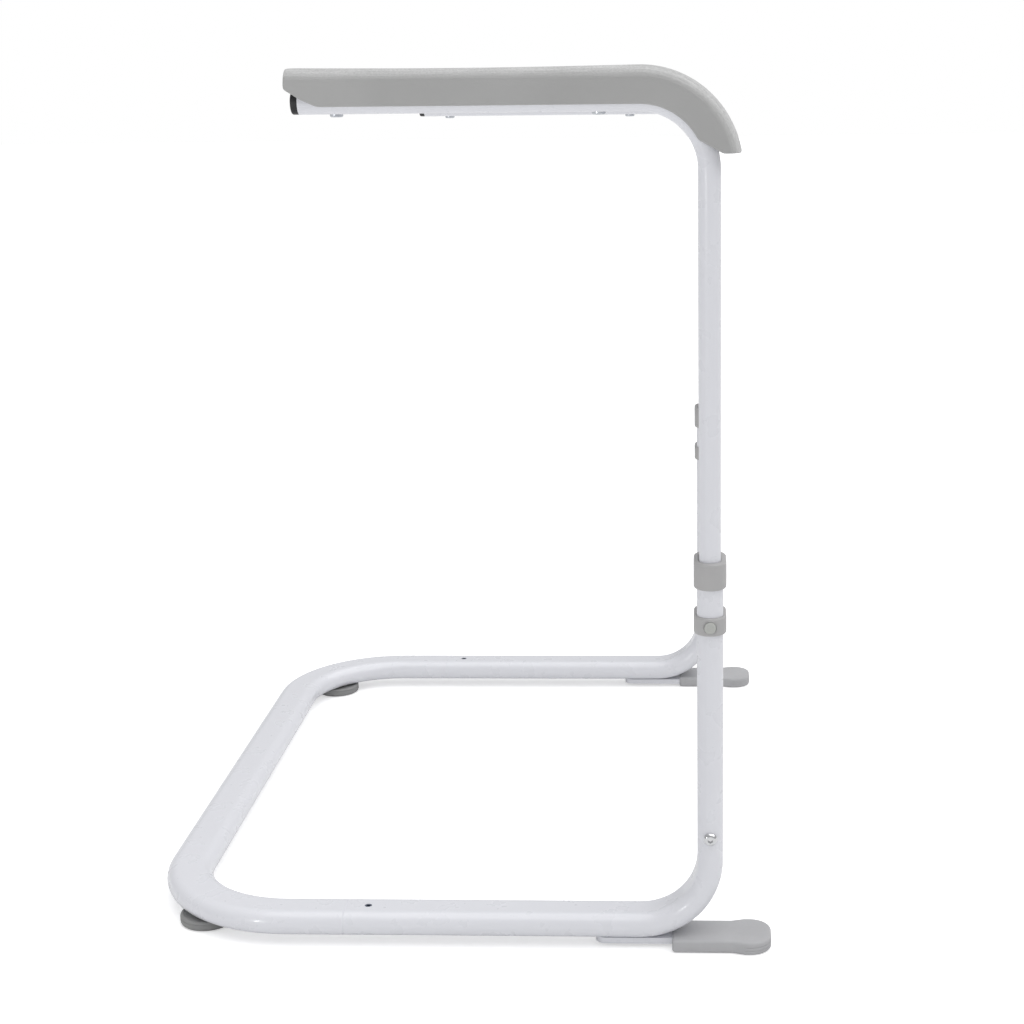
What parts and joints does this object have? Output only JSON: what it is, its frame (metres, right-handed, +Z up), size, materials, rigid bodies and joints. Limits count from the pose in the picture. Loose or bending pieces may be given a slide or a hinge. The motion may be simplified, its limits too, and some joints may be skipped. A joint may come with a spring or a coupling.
{
  "type": "bed assist rail",
  "caption": "Free-standing stand-up frame: a floor tube slides under a bed or seat, and posts carry padded arms whose height is set by push buttons.",
  "frame": {"origin": "on the floor, in the middle of the frame's outline seen from above", "axes": "+X from the bed towards the posts, the way the user faces; +Y to the user's left; +Z up"},
  "size_m": [0.507, 0.68, 0.6783],
  "materials": {
    "white_powder_coat": "gloss white powder coat",
    "grey_pad_skin": "satin skin, fine grain on top",
    "grey_plastic": "satin moulded",
    "pale_grey_plastic": "satin moulded",
    "black_plastic": "satin moulded",
    "grey_rubber": "matt",
    "chromed_steel": "polished",
    "zinc_steel": "zinc plated",
    "plain_steel": "bare"
  },
  "bodies": {
    "floor_frame": {"base_u_tube": "white_powder_coat", "side_frame_right": "white_powder_coat", "side_frame_left": "white_powder_coat", "joint_sleeve_right": "plain_steel", "joint_sleeve_left": "plain_steel", "joint_screw_right": "zinc_steel", "joint_screw_left": "zinc_steel", "foot_bracket_right": "white_powder_coat", "foot_bracket_left": "white_powder_coat", "foot_boot_right": "grey_rubber", "foot_boot_left": "grey_rubber", "corner_foot_right": "grey_rubber", "corner_foot_left": "grey_rubber", "corner_foot_screw_right": "zinc_steel", "corner_foot_screw_left": "zinc_steel", "post_bolt_right": "chromed_steel", "post_bolt_left": "chromed_steel", "stop_nut_right": "zinc_steel", "stop_nut_left": "zinc_steel", "stop_block_right": "grey_plastic", "stop_block_left": "grey_plastic", "lock_collar_right": "grey_plastic", "lock_collar_left": "grey_plastic", "button_spring_right": "plain_steel", "button_spring_left": "plain_steel", "top_bush_right": "grey_plastic", "top_bush_left": "grey_plastic"},
    "right_arm": {"arm_tube_right": "white_powder_coat", "arm_glide_plug_right": "black_plastic", "arm_end_cap_right": "black_plastic", "arm_pad_right": "grey_pad_skin", "pad_insert_right": "plain_steel", "pad_screws_right": "zinc_steel"},
    "left_arm": {"arm_tube_left": "white_powder_coat", "arm_glide_plug_left": "black_plastic", "arm_end_cap_left": "black_plastic", "arm_pad_left": "grey_pad_skin", "pad_insert_left": "plain_steel", "pad_screws_left": "zinc_steel"},
    "right_button": {"lock_button_right": "pale_grey_plastic", "lock_pin_right": "zinc_steel"},
    "left_button": {"lock_button_left": "pale_grey_plastic", "lock_pin_left": "zinc_steel"}
  },
  "joints": [
    {"name": "right_arm_height", "type": "slide", "parent": "floor_frame", "child": "right_arm", "axis": [0, 0, 1], "range_m": [-0.04, 0.04]},
    {"name": "right_lock_button", "type": "slide", "parent": "floor_frame", "child": "right_button", "axis": [0, 1, 0], "range_m": [0, 0.0022], "stiffness_N_per_m": 600, "deforming": ["button_spring_right"]},
    {"name": "left_arm_height", "type": "slide", "parent": "floor_frame", "child": "left_arm", "axis": [0, 0, 1], "range_m": [-0.02, 0.06]},
    {"name": "left_lock_button", "type": "slide", "parent": "floor_frame", "child": "left_button", "axis": [0, -1, 0], "range_m": [0, 0.0022], "stiffness_N_per_m": 600, "deforming": ["button_spring_left"]}
  ]
}
